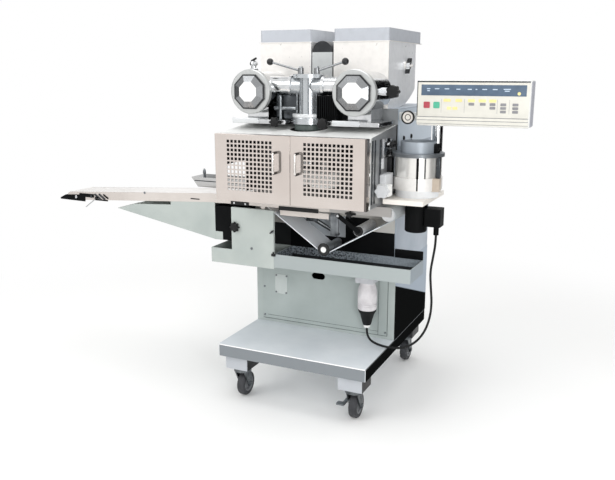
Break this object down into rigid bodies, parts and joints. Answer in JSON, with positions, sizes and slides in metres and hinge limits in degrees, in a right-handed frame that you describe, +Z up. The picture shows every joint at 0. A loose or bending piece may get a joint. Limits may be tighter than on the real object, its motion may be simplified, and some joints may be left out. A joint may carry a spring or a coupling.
{
  "type": "encrusting machine",
  "caption": "Wheeled encrusting machine with open hoppers, capped pumps, a guarded forming chamber, sloping outfeed belt, flour duster and swinging control panel.",
  "frame": {"origin": "on the floor under the middle of the deck", "axes": "+X along the conveyor towards the duster and panel side, +Y away from the operator, +Z up"},
  "size_m": [2.046, 0.817, 1.465],
  "materials": {
    "grey_paint": "semi-gloss paint",
    "blue_grey_paint": "semi-gloss paint",
    "dark_paint": "satin paint",
    "stainless": "brushed",
    "polished": "polished",
    "zinc": "bright zinc",
    "tyre": "matt rubber",
    "belt": "matt",
    "white_plastic": "smooth",
    "black_plastic": "matt",
    "red_plastic": "smooth",
    "green_plastic": "smooth",
    "cord_rubber": "matt"
  },
  "bodies": {
    "machine": {"cabinet_shell": "grey_paint", "access_panel": "grey_paint", "catch_tray": "grey_paint", "drive_cover": "grey_paint", "outfeed_arm": "grey_paint", "deck": "blue_grey_paint", "main_housing": "blue_grey_paint", "caster_blocks": "blue_grey_paint", "arm_mount": "dark_paint", "roller_plate": "dark_paint", "nose_block": "dark_paint", "main_motor": "dark_paint", "duster_motor": "dark_paint", "conveyor_bed": "stainless", "guard_frame": "stainless", "forming_head": "stainless", "hopper_left": "stainless", "hopper_right": "stainless", "side_tray": "stainless", "duster_shelf": "stainless", "duster_pot": "stainless", "pump_base": "polished", "pump_housings": "polished", "nozzle_body": "polished", "centre_cover": "polished", "panel_post": "polished", "conveyor_belt": "belt", "cord_socket": "white_plastic", "cord_plug": "white_plastic", "motor_cord": "cord_rubber"},
    "caster_front_left": {"caster_fork_front_left": "zinc"},
    "wheel_front_left": {"caster_wheel_front_left": "tyre"},
    "caster_front_right": {"caster_fork_front_right": "zinc"},
    "wheel_front_right": {"caster_wheel_front_right": "tyre"},
    "caster_rear_left": {"caster_fork_rear_left": "zinc"},
    "wheel_rear_left": {"caster_wheel_rear_left": "tyre"},
    "caster_rear_right": {"caster_fork_rear_right": "zinc"},
    "wheel_rear_right": {"caster_wheel_rear_right": "tyre"},
    "brake": {"brake_pedal": "zinc"},
    "door_left": {"guard_door_left": "stainless"},
    "door_right": {"guard_door_right": "stainless"},
    "lever_left": {"clamp_lever_left": "polished"},
    "lever_right": {"clamp_lever_right": "polished"},
    "nut_left": {"pump_nut_left": "polished"},
    "nut_right": {"pump_nut_right": "polished"},
    "clamp_knob_body": {"clamp_knob": "black_plastic"},
    "adjuster": {"adjuster_knob": "white_plastic"},
    "panel": {"control_panel": "white_plastic"},
    "stop_key": {"stop_button": "red_plastic"},
    "start_key": {"start_button": "green_plastic"},
    "tension": {"tension_roller": "stainless"},
    "drive": {"drive_roller": "stainless"},
    "end": {"end_roller": "stainless"},
    "disc_left": {"encrusting_disc_left": "white_plastic"},
    "disc_right": {"encrusting_disc_right": "white_plastic"},
    "paddle_left": {"hopper_paddle_left": "stainless"},
    "paddle_right": {"hopper_paddle_right": "stainless"},
    "agitator": {"duster_agitator": "stainless"},
    "wing_left": {"wing_nut_left": "polished"},
    "wing_right": {"wing_nut_right": "polished"}
  },
  "joints": [
    {"name": "swivel_front_left", "type": "hinge", "parent": "machine", "child": "caster_front_left", "pos_m": [-0.245, -0.32, 0.15], "axis": [0, 0, 1], "continuous": true},
    {"name": "roll_front_left", "type": "hinge", "parent": "caster_front_left", "child": "wheel_front_left", "pos_m": [-0.245, -0.298, 0.05], "axis": [1, 0, 0], "continuous": true},
    {"name": "swivel_front_right", "type": "hinge", "parent": "machine", "child": "caster_front_right", "pos_m": [0.245, -0.32, 0.15], "axis": [0, 0, 1], "continuous": true},
    {"name": "roll_front_right", "type": "hinge", "parent": "caster_front_right", "child": "wheel_front_right", "pos_m": [0.245, -0.298, 0.05], "axis": [1, 0, 0], "continuous": true},
    {"name": "swivel_rear_left", "type": "hinge", "parent": "machine", "child": "caster_rear_left", "pos_m": [-0.245, 0.32, 0.15], "axis": [0, 0, 1], "continuous": true},
    {"name": "roll_rear_left", "type": "hinge", "parent": "caster_rear_left", "child": "wheel_rear_left", "pos_m": [-0.245, 0.342, 0.05], "axis": [1, 0, 0], "continuous": true},
    {"name": "swivel_rear_right", "type": "hinge", "parent": "machine", "child": "caster_rear_right", "pos_m": [0.245, 0.32, 0.15], "axis": [0, 0, 1], "continuous": true},
    {"name": "roll_rear_right", "type": "hinge", "parent": "caster_rear_right", "child": "wheel_rear_right", "pos_m": [0.245, 0.342, 0.05], "axis": [1, 0, 0], "continuous": true},
    {"name": "brake_press", "type": "hinge", "parent": "caster_front_right", "child": "brake", "pos_m": [0.215, -0.298, 0.072], "axis": [1, 0, 0], "range_deg": [0, 18]},
    {"name": "door_left_open", "type": "hinge", "parent": "machine", "child": "door_left", "pos_m": [-0.299, -0.358, 0.955], "axis": [0, 0, -1], "range_deg": [0, 100]},
    {"name": "door_right_open", "type": "hinge", "parent": "machine", "child": "door_right", "pos_m": [0.299, -0.358, 0.955], "axis": [0, 0, 1], "range_deg": [0, 100]},
    {"name": "lever_left_turn", "type": "hinge", "parent": "machine", "child": "lever_left", "pos_m": [-0.033, -0.205, 1.308], "axis": [0, 0, 1], "range_deg": [-30, 60]},
    {"name": "lever_right_turn", "type": "hinge", "parent": "machine", "child": "lever_right", "pos_m": [0.033, -0.205, 1.308], "axis": [0, 0, -1], "range_deg": [-30, 60]},
    {"name": "nut_left_turn", "type": "hinge", "parent": "machine", "child": "nut_left", "pos_m": [-0.21, -0.29, 1.232], "axis": [0, 1, 0], "continuous": true},
    {"name": "nut_right_turn", "type": "hinge", "parent": "machine", "child": "nut_right", "pos_m": [0.21, -0.29, 1.232], "axis": [0, 1, 0], "continuous": true},
    {"name": "clamp_knob_turn", "type": "hinge", "parent": "machine", "child": "clamp_knob_body", "pos_m": [0.33, -0.2, 1.236], "axis": [0, 1, 0], "continuous": true},
    {"name": "adjuster_turn", "type": "hinge", "parent": "machine", "child": "adjuster", "pos_m": [0.332, -0.3, 0.891], "axis": [0, 1, 0], "continuous": true},
    {"name": "panel_swing", "type": "hinge", "parent": "machine", "child": "panel", "pos_m": [0.439, 0.02, 1.21], "axis": [0, 0, 1], "range_deg": [-5, 75]},
    {"name": "stop_press", "type": "slide", "parent": "panel", "child": "stop_key", "axis": [0, 1, 0], "range_m": [0, 0.0025], "stiffness_N_per_m": 400},
    {"name": "start_press", "type": "slide", "parent": "panel", "child": "start_key", "axis": [0, 1, 0], "range_m": [0, 0.0025], "stiffness_N_per_m": 400},
    {"name": "tension_roll", "type": "hinge", "parent": "machine", "child": "tension", "pos_m": [0.076, -0.155, 0.636], "axis": [0, 1, 0], "continuous": true},
    {"name": "drive_roll", "type": "hinge", "parent": "machine", "child": "drive", "pos_m": [0.2164, -0.155, 0.72037], "axis": [0, 1, 0], "continuous": true},
    {"name": "end_roll", "type": "hinge", "parent": "machine", "child": "end", "pos_m": [0.33, -0.155, 0.7916], "axis": [0, 1, 0], "continuous": true},
    {"name": "disc_left_spin", "type": "hinge", "parent": "machine", "child": "disc_left", "pos_m": [-0.064, -0.205, 0.95], "axis": [0, 0, 1], "continuous": true},
    {"name": "disc_right_spin", "type": "hinge", "parent": "machine", "child": "disc_right", "pos_m": [0.064, -0.205, 0.95], "axis": [0, 0, 1], "continuous": true},
    {"name": "paddle_left_turn", "type": "hinge", "parent": "machine", "child": "paddle_left", "pos_m": [-0.159, 0.119, 1.328], "axis": [1, 0, 0], "continuous": true},
    {"name": "paddle_right_turn", "type": "hinge", "parent": "machine", "child": "paddle_right", "pos_m": [0.159, 0.119, 1.328], "axis": [1, 0, 0], "continuous": true},
    {"name": "agitator_turn", "type": "hinge", "parent": "machine", "child": "agitator", "pos_m": [0.405, -0.115, 0.9], "axis": [0, 0, 1], "continuous": true},
    {"name": "wing_left_turn", "type": "hinge", "parent": "machine", "child": "wing_left", "pos_m": [-0.28, 0.119, 1.328], "axis": [1, 0, 0], "continuous": true},
    {"name": "wing_right_turn", "type": "hinge", "parent": "machine", "child": "wing_right", "pos_m": [0.28, 0.119, 1.328], "axis": [1, 0, 0], "continuous": true}
  ],
  "couplings": [
    {"joint": "drive_roll", "follows": "tension_roll", "ratio": 0.85},
    {"joint": "end_roll", "follows": "tension_roll", "ratio": 0.68},
    {"joint": "disc_right_spin", "follows": "disc_left_spin", "ratio": -1}
  ]
}
